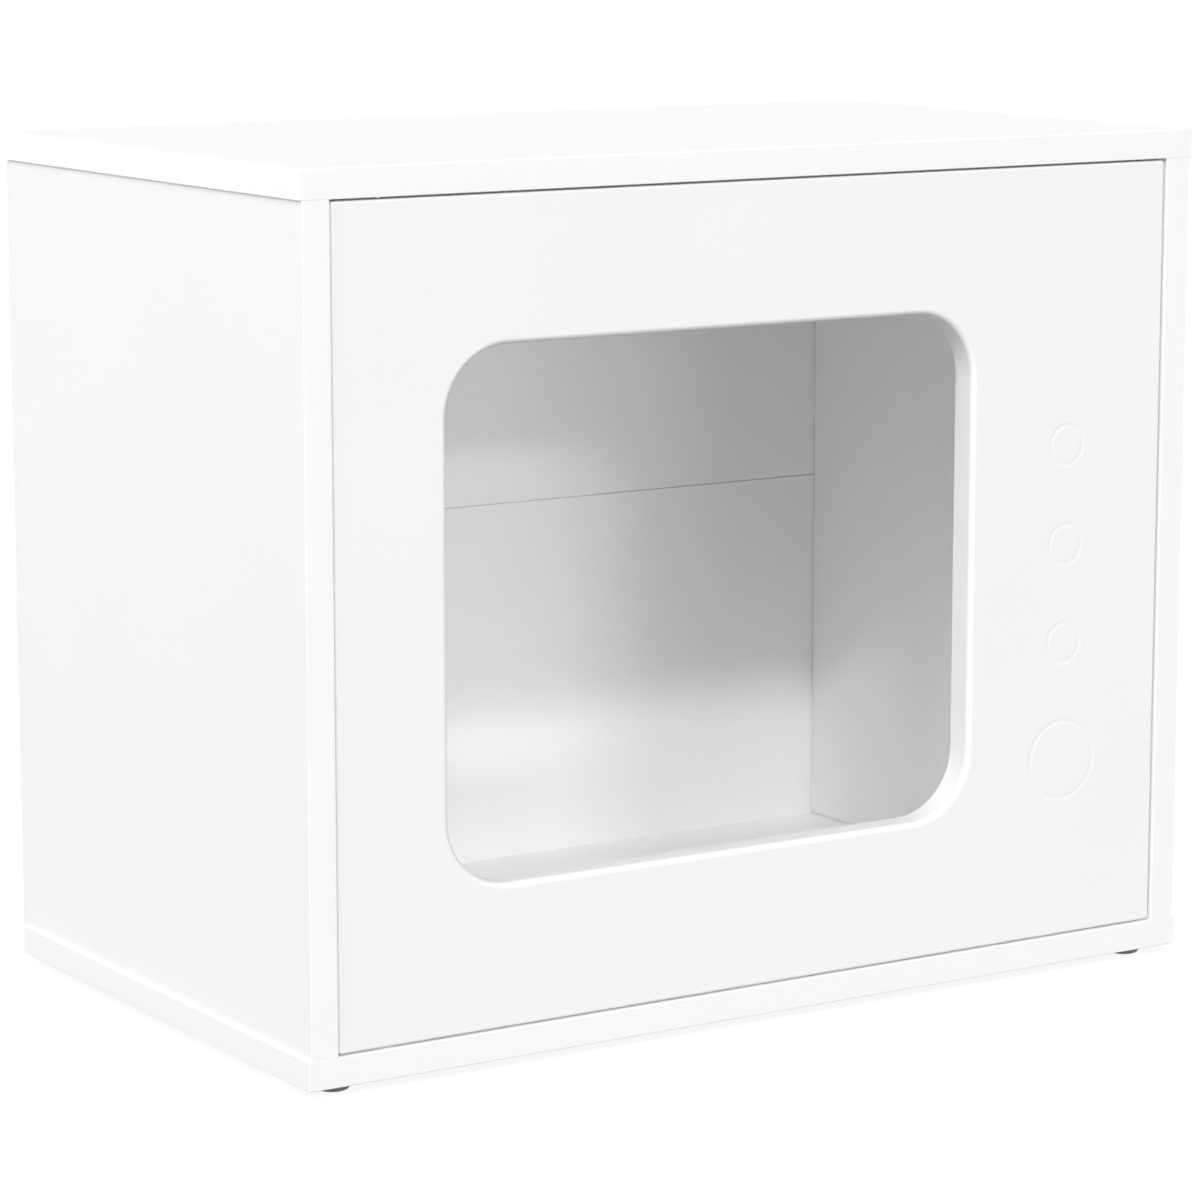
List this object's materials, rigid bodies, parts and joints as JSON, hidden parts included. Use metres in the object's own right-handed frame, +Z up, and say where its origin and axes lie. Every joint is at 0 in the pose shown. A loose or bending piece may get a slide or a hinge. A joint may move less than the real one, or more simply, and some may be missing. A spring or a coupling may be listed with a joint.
{
  "type": "cat house",
  "caption": "White flat-pack cat house: a box cabinet on small feet whose pivoting front door has a rounded rectangular entrance and engraved rings.",
  "frame": {"origin": "on the floor, under the middle of the cabinet's outline", "axes": "+X along the width to the viewer's right, -Y towards the front (the door), +Z up"},
  "size_m": [0.54, 0.3238, 0.45],
  "materials": {
    "melamine_board": "white melamine on particle board, satin, with soft banded edges",
    "hardboard": "thin white coated hardboard, matt",
    "painted_mdf": "white foil over fibreboard, satin, rounded front edges",
    "beech": "plain turned beech",
    "zinc": "die-cast zinc",
    "plated_steel": "bright zinc-plated steel",
    "nylon": "natural nylon",
    "catch_plastic": "white moulded plastic",
    "ferrite": "sintered ferrite",
    "foot_plastic": "dark grey moulded plastic"
  },
  "bodies": {
    "cabinet": {"top_panel": "melamine_board", "bottom_panel": "melamine_board", "left_side_panel": "melamine_board", "right_side_panel": "melamine_board", "back_panel_upper": "hardboard", "back_panel_lower": "hardboard", "dowels": "beech", "cam_discs": "zinc", "cam_bolts": "plated_steel", "base_screws": "plated_steel", "back_nails": "plated_steel", "foot_screws": "plated_steel", "upper_pivot_pin": "plated_steel", "lower_pivot_pin": "plated_steel", "catch_screws": "plated_steel", "catch_pole_plates": "plated_steel", "upper_panel_bush": "nylon", "lower_panel_bush": "nylon", "thrust_washer": "nylon", "catch_housing": "catch_plastic", "catch_magnet": "ferrite", "foot_front_left": "foot_plastic", "foot_front_right": "foot_plastic", "foot_rear_left": "foot_plastic", "foot_rear_right": "foot_plastic"},
    "door": {"door_panel": "painted_mdf", "upper_door_bush": "nylon", "lower_door_bush": "nylon", "strike_plate": "plated_steel", "strike_screw": "plated_steel"}
  },
  "joints": [
    {"name": "door_hinge", "type": "hinge", "parent": "cabinet", "child": "door", "pos_m": [-0.2235, -0.1534, 0], "axis": [0, 0, -1], "range_deg": [0, 110]}
  ]
}
